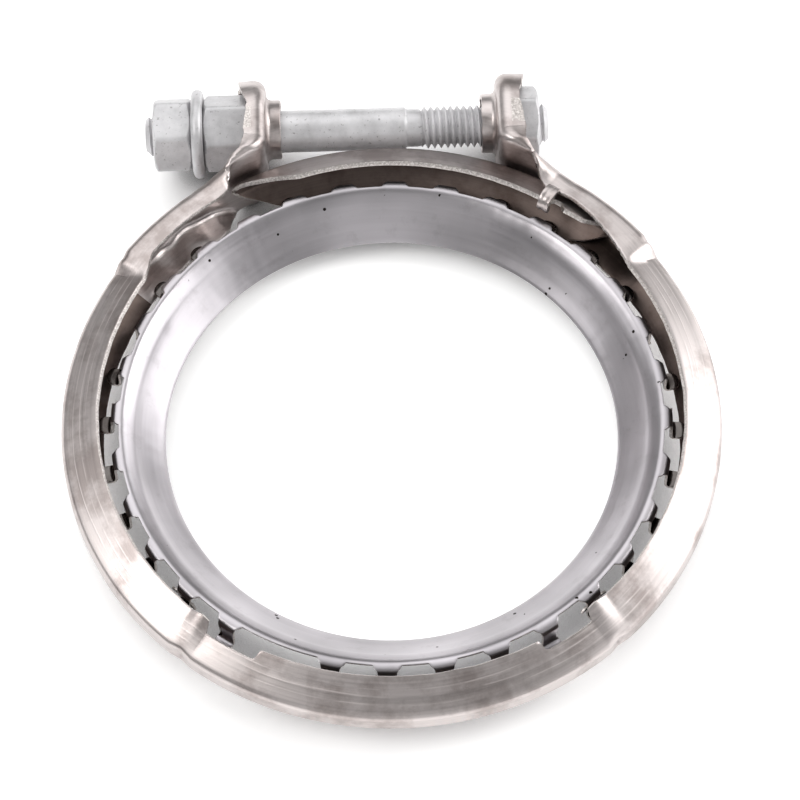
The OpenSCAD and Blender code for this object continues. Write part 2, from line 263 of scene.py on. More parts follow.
def bump(x, centre, half):
    """Smooth hump of height 1 around centre."""
    return ramp(0, 1, 1 - abs(x - centre) / half)


def wave(x, y=0.0, z=0.0):
    """Repeatable noise from -1 to 1."""
    return noise.noise(Vector((x, y, z)))


def ragged(place_on, front, finer, share):
    """Unevenness of a sheared lip along its way: a slow wave, and a share of a finer one."""
    return wave(place_on, front * 7.0, 3.0) + share * wave(place_on * finer, front * 3.0, 9.0)


def polar(r, angle):
    return np.array([r * math.cos(math.radians(angle)), r * math.sin(math.radians(angle))])


def face_place(polygon):
    """Centre of a face in millimetres, and its angle round the pipe's axis."""
    x, y, z = polygon.center / MM
    return x, y, z, math.degrees(math.atan2(y, x))


# Mesh building

class Skin:
    """Points and faces of one piece, in millimetres."""

    def __init__(self):
        self.points = []
        self.faces = []

    def grid(self, rows, close_rows=False, close_columns=False):
        """Faces over rows of the same number of points."""
        rows = np.asarray(rows, float)
        count, width = rows.shape[0], rows.shape[1]
        first = len(self.points)
        self.points.extend(rows.reshape(-1, 3))
        for j in range(count if close_rows else count - 1):
            for i in range(width if close_columns else width - 1):
                here, after = first + j * width, first + (j + 1) % count * width
                self.faces.append((here + i, here + (i + 1) % width, after + (i + 1) % width, after + i))

    def fan(self, centre, ring):
        """Triangles from a centre to a closed ring."""
        first = len(self.points)
        self.points.append(np.asarray(centre, float))
        self.points.extend(np.asarray(ring, float))
        n = len(ring)
        self.faces.extend((first, first + 1 + i, first + 1 + (i + 1) % n) for i in range(n))

    def mesh(self, name, weld=0.002):
        made = bpy.data.meshes.new(name)
        made.from_pydata([tuple(p * MM) for p in map(np.asarray, self.points)], [], self.faces)
        work = bmesh.new()
        work.from_mesh(made)
        bmesh.ops.remove_doubles(work, verts=work.verts, dist=weld * MM)
        bmesh.ops.recalc_face_normals(work, faces=work.faces)
        work.to_mesh(made)
        work.free()
        return made


def place(name, mesh, materials, body, node):
    """Puts a mesh in the scene as a piece that rides on a body and stands for a CAD node."""
    old = bpy.data.objects.get(name)
    if old is not None:
        bpy.data.objects.remove(old)
    piece = bpy.data.objects.new(name, mesh)
    bpy.context.scene.collection.objects.link(piece)
    for i, material in enumerate(materials):
        if i < len(mesh.materials):
            mesh.materials[i] = material
        else:
            mesh.materials.append(material)
    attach(piece, body)
    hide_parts(node)
    return piece


def sided(mesh, radius):
    """Slot 0 for a channel's faces turned away from the circle in its hollow, 1 for the others, which take a
    darker colour as painted shade.
    """
    for polygon in mesh.polygons:
        if polygon.material_index < 2:
            centre = polygon.center / MM
            hollow = Vector((*(centre.xy.normalized() * radius), 0.0))
            polygon.material_index = 0 if polygon.normal.dot(centre - hollow) > 0 else 1


def smooth(mesh, angle=38.0):
    """Smooth shading with creases sharper than an angle kept."""
    mesh.polygons.foreach_set("use_smooth", [True] * len(mesh.polygons))
    mesh.set_sharp_from_angle(angle=math.radians(angle))
    mesh.update()


def thickened(name, mesh, sheet, edge_bevel):
    """A sheet mesh given its thickness: slots 0 and 1 for its two sides, 2 for the sheared edge."""
    for _ in range(3):
        mesh.materials.append(None)
    helper = bpy.data.objects.new(name + "_work", mesh)
    bpy.context.scene.collection.objects.link(helper)
    solid = helper.modifiers.new("thickness", "SOLIDIFY")
    solid.thickness = sheet * MM
    solid.offset = 0.0
    solid.material_offset = 1
    solid.material_offset_rim = 2
    edge = helper.modifiers.new("edge", "BEVEL")
    edge.width = edge_bevel * MM
    edge.segments = 2
    edge.limit_method = "ANGLE"
    edge.angle_limit = math.radians(50)
    edge.use_clamp_overlap = True
    bpy.context.view_layer.update()
    graph = bpy.context.evaluated_depsgraph_get()
    made = bpy.data.meshes.new_from_object(helper.evaluated_get(graph))
    made.name = name
    bpy.data.objects.remove(helper)
    smooth(made)
    return made


# Channel sections of the folded sheet

def channel_half(flat, bend, leg, corner):
    """Half of a channel's middle line as (offset from the crown, z), without z = 0."""
    line = [np.array([0.0, flat * i / FLAT_STEPS]) for i in range(1, FLAT_STEPS + 1)]
    for i in range(1, FOLD_STEPS + 1):
        a = math.radians(bend * i / FOLD_STEPS)
        line.append(np.array([-corner * (1 - math.cos(a)), flat + corner * math.sin(a)]))
    way = np.array([-math.sin(math.radians(bend)), math.cos(math.radians(bend))])
    end = line[-1]
    return line + [end + way * leg * i / LEG_STEPS for i in range(1, LEG_STEPS + 1)]


def channel(flat, bend, leg_low, leg_high, corner=CORNER_R):
    """Whole middle line from the lower lip to the upper one."""
    low = [np.array([p[0], -p[1]]) for p in channel_half(flat, bend, leg_low, corner)][::-1]
    return low + [np.zeros(2)] + channel_half(flat, bend, leg_high, corner)


def folded_wall(edge, turn, lip, corner):
    """Points from a flat's edge round a fold and straight on to the lip, without the first."""
    edge, turn, lip = np.array(edge, float), np.array(turn, float), np.array(lip, float)
    way = lip - turn
    after = turn + way * min(0.85, corner / np.linalg.norm(way))
    row = []
    for i in range(1, FOLD_STEPS + 1):
        t = i / FOLD_STEPS
        row.append(edge * (1 - t) ** 2 + turn * 2 * t * (1 - t) + after * t * t)
    return row + [after + (lip - after) * i / LEG_STEPS for i in range(1, LEG_STEPS + 1)]


def crown_half(sizes):
    return mm(sizes.crown_width) / 2


def band_middle(sizes):
    return BAND_HIGH[0] - mm(sizes.sheet) / 2


def ear_middle(sizes):
    return CAPTIVE_LOW[0] - EAR_GAP - mm(sizes.sheet) / 2


def cup_wall(sizes):
    return mm(sizes.cup_radius) + mm(sizes.sheet) / 2


def cup_flat(sizes):
    return cup_wall(sizes) - CUP_CORNER_R


def bolt_height():
    return (WASHER_LOW[1] + WASHER_HIGH[1]) / 2


def ear_height():
    return bolt_height() + EAR_LIFT


# Radius of the lips beyond the V arc over the angle round the band, by side and face
BACK_LIP = [(114, 60), (116.6, 59.8), (119, 58.4), (121, 55.5), (123, 53.4), (126, 52.4), (140, 52.4),
            (148, 52.2)]
LIP_RADII = {
    (1, 1): [(114, 59.8), (118.1, 59.37), (120, 57.88), (120.9, 55.97), (121.8, 54.4), (124.1, 54.2),
             (126.4, 54.35), (142, 54.3), (144.3, 53.3), (146.5, 52.5), (148, 52.2)],
    (-1, 1): [(114, 60.2), (116.6, 60.0), (119.7, 57.55), (121.8, 55.1), (124.1, 53.9), (126.3, 54.5),
              (128.7, 54.9), (135, 54.35), (140.5, 53.4), (145.7, 52.5), (148, 52.2)],
    (1, -1): BACK_LIP,
    (-1, -1): BACK_LIP}
LIP_HEIGHTS = [(114.5, 9.0), (116, 9.2), (118.1, 8.2), (120, 7.4), (121, 6.6), (122, 5.9), (124.1, 5.4),
               (126.4, 5.25), (140, 5.25), (148, 5.07)]
# The lip runs ahead of its section at the neck, by these degrees over the way along the channel
LIP_LEADS = [(0.7, 0), (0.8, 0.7), (0.9, 1.5), (1, 2.2)]
# Depth of the ear's cup wall from its web over the height above the cup's centre
BACK_CUP = [(-7, 4.6), (-4, 4.4), (-0.4, 3.9), (1.2, 4.2), (6, 5.1)]
CUP_DEPTHS = {
    (1, 1): [(-7, 3.5), (-5.6, 3.6), (-3, 3.35), (-0.4, 3.0), (0.3, 2.9), (1.2, 3.5), (3, 4.1), (6, 4.6)],
    (-1, 1): [(-7, 4.75), (-4, 4.4), (-0.4, 3.9), (1.2, 3.8), (2, 4.3), (6, 5.1)],
    (1, -1): BACK_CUP,
    (-1, -1): BACK_CUP}


class Way:
    """The middle line of the band's left half and the sections along it."""

    def __init__(self, sizes):
        self.sizes = sizes
        self.mid_r = band_middle(sizes)
        self.neck_x = -ear_middle(sizes) - NECK_R
        self.neck_y = math.sqrt((self.mid_r + NECK_R) ** 2 - self.neck_x ** 2)
        self.neck_angle = math.degrees(math.atan2(self.neck_y, self.neck_x))
        wall = cup_wall(sizes)
        bulge = BAND_HIGH[2] - mm(sizes.sheet) / 2 - 0.05
        start = crown_half(sizes) + 0.67
        # Distance of the two walls from the band's middle plane over the way, front and back
        neck = [(0.9, 9.1), (1, bulge), (1.5, bulge - 0.25), (2, wall)]
        self.walls = {1: [(0, start), (0.02, 2.6), (0.05, 4.3), (0.12, 4.75), (0.6, 4.8), (0.7, 5.5),
                          (0.8, 7.2)] + neck,
                      -1: [(0, start), (0.03, 2.6), (0.08, 3.9), (0.14, 4.3), (0.6, 4.4), (0.7, 5.2),
                           (0.8, 7.0)] + neck}
        # How far the fold between crown and wall reaches over each of them
        self.corners = {1: [(0, 0.67), (0.06, 1.1), (0.5, 1.4), (0.8, CUP_CORNER_R)],
                        -1: [(0, 0.67), (0.08, 1.8), (0.8, CUP_CORNER_R)]}

    def angle(self, u):
        if u < 0:
            return VEE_START - VEE_HALF_ANGLE * u
        if u < 1:
            return VEE_START + (self.neck_angle - VEE_START) * u
        return self.neck_angle + (180 - self.neck_angle) * (u - 1)

    def point(self, u):
        if u < 1:
            return polar(self.mid_r, self.angle(u))
        return np.array([self.neck_x, self.neck_y]) - polar(NECK_R, self.angle(u))

    def back_angle(self, u):
        """Angle from the side opposite the bolt, in the V arc."""
        return VEE_HALF_ANGLE * (1 + u)

    def notch(self, u):
        """Cut in the lip, 0 to 1."""
        off = abs(self.back_angle(u) - NOTCH_AT) - NOTCH_ARC / 2
        return 1 - ramp(-0.5, 0.35, off)

    def kink(self, u):
        return max(0.0, 1 - abs(self.back_angle(u) - KINK_AT) / KINK_ARC)

    def lip(self, u, side, front):
        """Place of the lip beyond the V arc: round the band first, then up the ear."""
        a = self.angle(min(u, 1)) + interpolate(u, LIP_LEADS)
        radius, height = interpolate(a, LIP_RADII[side, front]), interpolate(a, LIP_HEIGHTS)
        spot = np.array([*polar(radius, a), height * front])
        if u > 1:
            foot_depth = CUP_DEPTHS[side, front][0][1]
            up = np.array([-ear_middle(self.sizes) - foot_depth, self.neck_y + FOOT_LIFT,
                           (cup_wall(self.sizes) - CUP_LEAN) * front])
            spot += (up - spot) * (u - 1)
        return spot

    def wide_ring(self, u, side):
        """Section of the wide channel and the neck."""
        rag = mm(self.sizes.raggedness)
        p = self.point(u)
        halves = []
        for front in (-1, 1):
            wall = interpolate(u, self.walls[front])
            corner = interpolate(u, self.corners[front])
            dent = MOUTH_DENT * bump(u, MOUTH_AT, MOUTH_HALF) if front > 0 else 0.0
            sunk = p - polar(dent, self.angle(u))
            lip = self.lip(u, side, front)
            turn = np.array([*sunk, wall * front])
            way = (lip - turn) / np.linalg.norm(lip - turn)
            lip += way * rag * ragged(30 * u * side, front, 16 / 3, 1.0)
            flat = [np.array([*(p + (sunk - p) * i / FLAT_STEPS), (wall - corner) * front * i / FLAT_STEPS])
                    for i in range(1, FLAT_STEPS + 1)]
            halves.append(flat + folded_wall(flat[-1], turn, lip, corner))
        row = halves[0][::-1] + [np.array([*p, 0.0])] + halves[1]
        return [[side * q[0], q[1], q[2]] for q in row]

    def vee_ring(self, u, side):
        """Section of the V arc."""
        rag = mm(self.sizes.raggedness)
        cut = NOTCH_DEPTH / math.sin(math.radians(LEG_ANGLE)) * self.notch(u)
        legs = [LEG_LEN - cut + rag * ragged(30 * u * side, front, 5, 0.5) for front in (-1, 1)]
        kink = self.kink(u)
        flat = crown_half(self.sizes) + KINK_WIDENS * kink
        p = self.point(u)
        row = []
        for offset, z in channel(flat, LEG_ANGLE - KINK_OPENS * kink, *legs):
            offset -= KINK_DEPTH * kink * (1 if abs(z) < flat else KINK_ON_LEGS)
            x, y = p + polar(offset, self.angle(u))
            row.append([side * x, y, z])
        return row

    def ring(self, u, side):
        return self.vee_ring(u, side) if u < 0 else self.wide_ring(u, side)

    def stations(self):
        vee = list(np.arange(-VEE_HALF_ANGLE, -0.1, 1.0) / VEE_HALF_ANGLE)
        marks = [NOTCH_AT + s * (NOTCH_ARC / 2 + d) for s in (-1, 1) for d in (-0.3, 0, 0.3)]
        marks += [KINK_AT + d for d in (-KINK_ARC, -KINK_ARC / 2, 0, KINK_ARC / 2, KINK_ARC)]
        vee += [m / VEE_HALF_ANGLE - 1 for m in marks]
        wide = list(np.linspace(0, 1, 70, endpoint=False))
        neck = list(np.linspace(1, 2, 15))
        return sorted(vee) + wide + neck


# Ear: a web with the bolt's hole, and a cup wall round its sides and top

def ear_outline(way):
    """Points (y, z, normal y, normal z) round the ear's flat."""
    flat = cup_flat(way.sizes)
    top = ear_height()
    heights = list(np.linspace(way.neck_y, way.neck_y + CUP_STEP, 6, endpoint=False))
    heights += list(np.linspace(way.neck_y + CUP_STEP, top, 6, endpoint=False))
    side = [(y, -flat, 0.0, -1.0) for y in heights]
    arc = []
    for a in np.linspace(-90, 90, 49):
        n = polar(1, a)
        arc.append((top + flat * n[0], flat * n[1], n[0], n[1]))
    other = [(y, flat, 0.0, 1.0) for y in reversed(heights)]
    return side + arc + other


def ear_skin(skin, way, side):
    """The cup wall round the ear's outline, and the web between it and the bolt's hole."""
    sizes = way.sizes
    x = -ear_middle(sizes)
    outline = ear_outline(way)
    rag = mm(sizes.raggedness)
    rows = []
    for k, (y, z, ny, nz) in enumerate(outline):
        depth = interpolate(y - ear_height(), CUP_DEPTHS[side, 1 if z > 0 else -1])
        depth += rag * (wave(k * 0.35, z, side * 2.0) + 1.5 * wave(k * 1.3, z, side * 5.0))
        edge = np.array([x, y, z])
        turn = edge + CUP_CORNER_R * np.array([0, ny, nz])
        lip = turn + np.array([-depth, 0, 0]) - CUP_LEAN * np.array([0, ny, nz])
        if k in (0, len(outline) - 1):
            lip[1] += FOOT_LIFT
        row = [edge] + folded_wall(edge, turn, lip, CUP_CORNER_R)
        rows.append([[side * q[0], q[1], q[2]] for q in row])
    skin.grid(rows)
    flat = cup_flat(sizes)
    bottom = [(way.neck_y, flat * i / FLAT_STEPS, 0, 0) for i in range(FLAT_STEPS - 1, -FLAT_STEPS, -1)]
    loop = outline + bottom
    hole = mm(sizes.collar_diameter) / 2 - 0.5
    centre = np.array([ear_height(), 0.0])
    web = [[] for _ in range(6)]
    for point in loop:
        out = np.array(point[:2]) - centre
        inner = centre + hole * out / np.linalg.norm(out)
        for row, share in zip(web, np.linspace(0, 1, len(web))):
            row.append([side * x, *(inner * (1 - share) + np.array(point[:2]) * share)])
    skin.grid(web, close_columns=True)


def collar_skin(skin, way, side, steps=64):
    """The drawn collar as a closed ring with a torn rim."""
    sizes = way.sizes
    outer = mm(sizes.collar_diameter) / 2
    inner = outer - COLLAR_WALL
    half = mm(sizes.sheet) / 2
    tall = half + mm(sizes.collar_length)
    # Radius and height over the ear's middle plane, from the inner root round the rim to the outer root
    outline = [(outer - 0.4, -half - 0.01), (inner + 0.3, -half - 0.01), (inner + 0.06, -half + 0.12),
               (inner, -half + 0.4), (inner, tall - 0.1), (inner + 0.1, tall), (outer - 0.1, tall),
               (outer, tall - 0.1), (outer + 0.02, half + 0.9), (outer + 0.2, half + 0.4),
               (outer + 0.8, half + 0.01), (outer + 0.8, half - 0.2), (outer - 0.4, 0)]
    rows = []
    for k in range(steps):
        a = 2 * math.pi * k / steps
        torn = 0.18 * wave(3 * math.cos(a), 3 * math.sin(a), side * 4.0)
        rows.append([[side * (-ear_middle(sizes) + h + (torn if h > half + 1 else 0)),
                      ear_height() + r * math.cos(a), r * math.sin(a)] for r, h in outline])
    skin.grid(rows, close_rows=True, close_columns=True)


# Turned and threaded parts along the bolt's axis

def along_bolt(x, r, angle):
    return [x, bolt_height() + r * math.cos(angle), r * math.sin(angle)]


def turned(skin, profile, steps=TURN_STEPS, closed=False):
    """Revolves (x, r) points about the bolt's axis; open profiles start and end on it."""
    rows = [[along_bolt(x, r, 2 * math.pi * k / steps) for k in range(steps)] for x, r in profile]
    if closed:
        skin.grid(rows, close_rows=True, close_columns=True)
        return
    skin.grid(rows, close_columns=True)
    skin.fan(along_bolt(profile[0][0], 0, 0), rows[0])
    skin.fan(along_bolt(profile[-1][0], 0, 0), rows[-1])


def threaded(skin, start, end, crest, pitch, tip_at_end):
    """A right-hand thread between two places, with a bevelled tip and a run-out."""
    depth = THREAD_DEPTH * pitch
    places = np.arange(start, end + 1e-6, pitch / 14)
    places[-1] = end
    rows = []
    for x in places:
        to_tip, to_root = (end - x, x - start) if tip_at_end else (x - start, end - x)
        row = []
        for k in range(TURN_STEPS):
            turn = k / TURN_STEPS
            flank = abs(2 * ((x / pitch - turn) % 1.0) - 1)
            height = min(1.0, max(0.0, (0.86 - flank) / 0.72)) * ramp(0.0, 1.1, to_root)
            r = crest - depth * (1 - height)
            if to_tip < 1.2:
                r = min(r, crest - 1.0 + to_tip * 0.9)
            row.append(along_bolt(x, r, 2 * math.pi * turn))
        rows.append(row)
    skin.grid(rows, close_columns=True)
    for row, x in ((rows[0], start), (rows[-1], end)):
        inner = [along_bolt(x, crest * 0.45, 2 * math.pi * k / TURN_STEPS) for k in range(TURN_STEPS)]
        skin.grid([row, inner], close_columns=True)
        skin.fan(along_bolt(x, 0, 0), inner)


def hex_radius(angle, across, soft=0.22):
    """Distance to a hexagon's side at an angle, with its edges rounded."""
    total = 0.0
    for k in range(6):
        c = math.cos(angle - math.radians(60 * k))
        if c > 0.3:
            total += math.exp(-(across / 2 / c - across / 2) / soft)
    return across / 2 - soft * math.log(total)


def soft_least(a, b, soft):
    return min(a, b) - soft * math.log(1 + math.exp(-abs(a - b) / soft))


def hexagon(skin, start, end, across, turn, bore, lift=0.0, steps=144):
    """A forged hexagon with chamfered ends and soft edges; bore 0 closes its faces."""
    face_r = across / 2 - HEX_INSET
    length = end - start
    # Distances from either end, closer together where the chamfer turns
    near = [0, 0.05, 0.12, 0.2, 0.3, 0.42, 0.56, 0.72, 0.9, 1.15, 1.5]
    side = near + list(np.linspace(2.0, length - 2.0, 5)) + [length - d for d in reversed(near)]
    slope = math.tan(math.radians(HEX_CHAMFER))
    angles = [2 * math.pi * k / steps for k in range(steps)]

    def radius(d, angle):
        cone = face_r + min(d, length - d) / slope
        return soft_least(hex_radius(angle - math.radians(turn), across), cone, 0.07)

    def face_ring(d, dish, share):
        return [along_bolt(start + d + dish, inner + (radius(d, a) - inner) * share, a) for a in angles]

    shares = [0.0, 0.05, 0.3, 0.65, 0.9, 0.97] if bore else [0.02, 0.3, 0.65, 0.9, 0.97]
    inner = bore + 0.35 if bore else 0.0
    faces = [[face_ring(d, sign * lift * (1 - share), share) for share in shares]
             for d, sign in ((0.0, 1.0), (length, -1.0))]
    rows = [[along_bolt(start + d, radius(d, a), a) for a in angles] for d in side]
    shell = faces[0] + rows + faces[1][::-1]
    if bore:
        inside = [[along_bolt(start + d, bore, a) for a in angles] for d in (length - 0.35, length / 2, 0.35)]
        skin.grid(shell + inside, close_rows=True, close_columns=True)
    else:
        skin.grid(shell, close_columns=True)
        skin.fan(along_bolt(start + lift, 0, 0), faces[0][0])
        skin.fan(along_bolt(end - lift, 0, 0), faces[1][0])


# Materials

def add(tree, kind, inputs=None, stops=None, **settings):
    """Adds a node, sets its settings and colour stops, and fills its inputs with values or links."""
    made = tree.nodes.new(kind)
    for name, value in settings.items():
        setattr(made, name, value)
    for key, value in (inputs or {}).items():
        if isinstance(value, bpy.types.NodeSocket):
            tree.links.new(value, made.inputs[key])
        else:
            made.inputs[key].default_value = value
    if stops:
        elements = made.color_ramp.elements
        while len(elements) > 1:
            elements.remove(elements[-1])
        elements[0].position, elements[0].color = stops[0]
        for position, colour in stops[1:]:
            elements.new(position).color = colour
    return made


def new_material(name):
    material = bpy.data.materials.get(name) or bpy.data.materials.new(name)
    material.use_nodes = True
    tree = material.node_tree
    tree.nodes.clear()
    shader = add(tree, "ShaderNodeBsdfPrincipled")
    add(tree, "ShaderNodeOutputMaterial", {"Surface": shader.outputs["BSDF"]})
    return material, tree, shader


def finish_metal(tree, shader, colour, gloss, relief, metallic=1.0):
    """Links colour, gloss as (pattern, least and most roughness), and relief as (pattern, strength,
    depth in millimetres) to the shader."""
    pattern, least, most = gloss
    height, strength, depth = relief
    tree.links.new(colour, shader.inputs["Base Color"])
    shader.inputs["Metallic"].default_value = metallic
    rough = add(tree, "ShaderNodeMapRange", {"Value": pattern, "From Min": 0.3, "From Max": 0.7,
                                             "To Min": least, "To Max": most})
    tree.links.new(rough.outputs[0], shader.inputs["Roughness"])
    raised = add(tree, "ShaderNodeBump", {"Height": height, "Strength": strength, "Distance": depth * MM})
    tree.links.new(raised.outputs["Normal"], shader.inputs["Normal"])


def tinted(colour, factor):
    return [min(1.0, c * factor) for c in colour[:3]] + [1.0]


def axis_parts(tree, place_in):
    """The place across the pipe's axis, the distance from the axis, and the height along it."""
    parts = add(tree, "ShaderNodeSeparateXYZ", {"Vector": place_in})
    flat = add(tree, "ShaderNodeCombineXYZ", {"X": parts.outputs["X"], "Y": parts.outputs["Y"]})
    radius = add(tree, "ShaderNodeVectorMath", {0: flat.outputs["Vector"]}, operation="LENGTH")
    return flat.outputs["Vector"], radius.outputs["Value"], parts


def around_axis(tree, length, apart):
    """Coordinates for streaks round the pipe's axis, without a seam, by their length and distance."""
    place_in = add(tree, "ShaderNodeTexCoord").outputs["Object"]
    flat, radius, parts = axis_parts(tree, place_in)
    way = add(tree, "ShaderNodeVectorMath", {0: flat}, operation="NORMALIZE")
    turn = add(tree, "ShaderNodeVectorMath", {0: way.outputs["Vector"], "Scale": 55 * MM * per(length)},
               operation="SCALE")
    height = add(tree, "ShaderNodeMath", {0: parts.outputs["Z"], 1: per(apart)}, operation="MULTIPLY")
    lift = add(tree, "ShaderNodeCombineXYZ", {"Z": height.outputs[0]})
    vector = add(tree, "ShaderNodeVectorMath", {0: turn.outputs["Vector"], 1: lift.outputs["Vector"]},
                 operation="ADD")
    depth = add(tree, "ShaderNodeMath", {0: radius, 1: per(apart)}, operation="MULTIPLY")
    return place_in, vector.outputs["Vector"], depth.outputs[0]


def ring_lines(tree, place_in, radii, width):
    """Thin broken lines round the pipe's axis, 0 to 1, at radii in millimetres."""
    flat, radius, parts = axis_parts(tree, place_in)
    total = 0.0
    for k, r in enumerate(radii):
        # Each line wanders by up to 0.4 mm to either side over about 17 mm, and breaks off every 8 mm
        wander = add(tree, "ShaderNodeTexNoise", {"Vector": flat, "W": 3.0 * k, "Scale": per(16.67),
                                                  "Detail": 1.0}, noise_dimensions="4D")
        off = add(tree, "ShaderNodeMath", {0: wander.outputs["Fac"], 1: 0.8 * MM, 2: (-r - 0.4) * MM},
                  operation="MULTIPLY_ADD")
        off = add(tree, "ShaderNodeMath", {0: radius, 1: off.outputs[0]}, operation="ADD")
        off = add(tree, "ShaderNodeMath", {0: off.outputs[0]}, operation="ABSOLUTE")
        line = add(tree, "ShaderNodeMapRange", {"Value": off.outputs[0], "From Min": 0.0,
                                                "From Max": width * MM, "To Min": 1.0, "To Max": 0.0})
        broken = add(tree, "ShaderNodeTexNoise", {"Vector": place_in, "W": 5.0 * k, "Scale": per(8.333),
                                                  "Detail": 2.0}, noise_dimensions="4D")
        part = add(tree, "ShaderNodeMapRange", {"Value": broken.outputs["Fac"], "From Min": 0.42,
                                                "From Max": 0.58})
        line = add(tree, "ShaderNodeMath", {0: line.outputs[0], 1: part.outputs[0]}, operation="MULTIPLY")
        total = add(tree, "ShaderNodeMath", {0: total, 1: line.outputs[0]}, operation="ADD").outputs[0]
    # They fade out towards the ears
    fade = add(tree, "ShaderNodeMapRange", {"Value": parts.outputs["Y"], "From Min": 0.036,
                                            "From Max": 0.026, "To Min": 0.0, "To Max": 0.7})
    return add(tree, "ShaderNodeMath", {0: total, 1: fade.outputs[0]}, operation="MULTIPLY").outputs[0]


def stainless_sheet(name, colour, roughness, streak_depth=0.03, line_radii=()):
    """Stainless steel strip, cold rolled and satin brushed along its length."""
    # Rolling lines run round the band about 0.25 mm apart, drawn at 0.4 mm so that they show; they
    # spread highlights across the strip and keep them long along it. The grain of the rolled
    # skin is finer than 0.1 mm, drawn at 0.3 mm so that it shows, and stains of 11 mm warm it
    material, tree, shader = new_material(name)
    place_in, vector, depth = around_axis(tree, 33.33, 0.4)
    streaks = add(tree, "ShaderNodeTexNoise", {"Vector": vector, "W": depth, "Scale": 1.0, "Detail": 4.0,
                                               "Roughness": 0.62}, noise_dimensions="4D").outputs["Fac"]
    stains = add(tree, "ShaderNodeTexNoise", {"Vector": place_in, "Scale": per(11.11), "Detail": 6.0,
                                              "Roughness": 0.65})
    grain = add(tree, "ShaderNodeTexNoise", {"Vector": place_in, "Scale": per(0.3125), "Detail": 2.0})
    tone = add(tree, "ShaderNodeValToRGB", {"Fac": streaks},
               [(0.3, tinted(colour, 0.88)), (0.5, colour), (0.7, tinted(colour, 1.1))]).outputs["Color"]
    warm = add(tree, "ShaderNodeMix", {0: 0.6, 6: tone, 7: linear("#a59a96")}, data_type="RGBA",
               blend_type="MULTIPLY")
    patch = add(tree, "ShaderNodeMapRange", {"Value": stains.outputs["Fac"], "From Min": 0.45,
                                             "From Max": 0.6, "To Min": 0.0, "To Max": 0.9})
    base = add(tree, "ShaderNodeMix", {0: patch.outputs[0], 6: tone, 7: warm.outputs[2]}, data_type="RGBA")
    lines = 0.0
    if line_radii:
        lines = ring_lines(tree, place_in, line_radii, 0.17)
        base = add(tree, "ShaderNodeMix", {0: lines, 6: base.outputs[2], 7: tinted(colour, 1.3)},
                   data_type="RGBA")
    shader.inputs["Anisotropic"].default_value = 0.45
    tangent = add(tree, "ShaderNodeTangent", direction_type="RADIAL", axis="Z")
    tree.links.new(tangent.outputs["Tangent"], shader.inputs["Tangent"])
    both = add(tree, "ShaderNodeMath", {0: streaks, 1: grain.outputs["Fac"]}, operation="ADD")
    both = add(tree, "ShaderNodeMath", {0: lines, 1: 2.5, 2: both.outputs[0]}, operation="MULTIPLY_ADD")
    finish_metal(tree, shader, base.outputs[2], (streaks, roughness - 0.03, roughness + 0.06),
                 (both.outputs[0], 0.25, streak_depth))
    return material


def sheared_edge(colour):
    """Stainless steel, sheared and broken at the die: coarse grains that catch light."""
    # The break's grains are about 0.1 mm, drawn at 0.4 mm so that they show
    material, tree, shader = new_material("stainless_sheared_edge")
    place_in = add(tree, "ShaderNodeTexCoord").outputs["Object"]
    grains = add(tree, "ShaderNodeTexNoise", {"Vector": place_in, "Scale": per(0.3846), "Detail": 4.0,
                                              "Roughness": 0.7}).outputs["Fac"]
    tone = add(tree, "ShaderNodeValToRGB", {"Fac": grains},
               [(0.3, tinted(colour, 0.6)), (0.5, colour), (0.66, linear("#f4f0ec"))])
    finish_metal(tree, shader, tone.outputs["Color"], (grains, 0.38, 0.38), (grains, 0.6, 0.1))
    return material


def bright_sheet(colour):
    """Stainless sheet, bright annealed and drawn: smooth, with faint rings, worn marks and specks."""
    # The die's rings are about 0.2 mm apart, drawn at 0.7 mm so that they show, under clouds of
    # 22 mm and worn marks of 4 mm; a speck of soot of 0.3 mm lies in few of the 2.4 mm cells
    material, tree, shader = new_material("stainless_bright_annealed")
    place_in, vector, depth = around_axis(tree, 20, 0.6667)
    rings = add(tree, "ShaderNodeTexNoise", {"Vector": vector, "W": depth, "Scale": 1.0, "Detail": 3.0},
                noise_dimensions="4D").outputs["Fac"]
    clouds = add(tree, "ShaderNodeTexNoise", {"Vector": place_in, "Scale": per(22.22), "Detail": 2.0})
    marks = add(tree, "ShaderNodeTexNoise", {"Vector": place_in, "Scale": per(4.167), "Detail": 6.0,
                                             "Roughness": 0.7})
    specks = add(tree, "ShaderNodeTexVoronoi", {"Vector": place_in, "Scale": per(2.381)})
    few = add(tree, "ShaderNodeTexNoise", {"Vector": place_in, "Scale": per(3.846), "Detail": 0.0})
    tone = add(tree, "ShaderNodeValToRGB", {"Fac": clouds.outputs["Fac"]},
               [(0.35, tinted(colour, 0.78)), (0.65, tinted(colour, 1.14))])
    base = add(tree, "ShaderNodeMix", {0: 0.1, 6: tone.outputs["Color"], 7: rings}, data_type="RGBA",
               blend_type="OVERLAY")
    worn = add(tree, "ShaderNodeMapRange", {"Value": marks.outputs["Fac"], "From Min": 0.55,
                                            "From Max": 0.75, "To Min": 0.0, "To Max": 0.35})
    base = add(tree, "ShaderNodeMix", {0: worn.outputs[0], 6: base.outputs[2], 7: linear("#8a8486")},
               data_type="RGBA")
    near = add(tree, "ShaderNodeMath", {0: specks.outputs["Distance"], 1: 0.13}, operation="LESS_THAN")
    rare = add(tree, "ShaderNodeMath", {0: few.outputs["Fac"], 1: 0.66}, operation="GREATER_THAN")
    spot = add(tree, "ShaderNodeMath", {0: near.outputs[0], 1: rare.outputs[0]}, operation="MULTIPLY")
    base = add(tree, "ShaderNodeMix", {0: spot.outputs[0], 6: base.outputs[2], 7: linear("#2b2624")},
               data_type="RGBA")
    finish_metal(tree, shader, base.outputs[2], (rings, 0.31, 0.36), (rings, 0.2, 0.02))
    return material


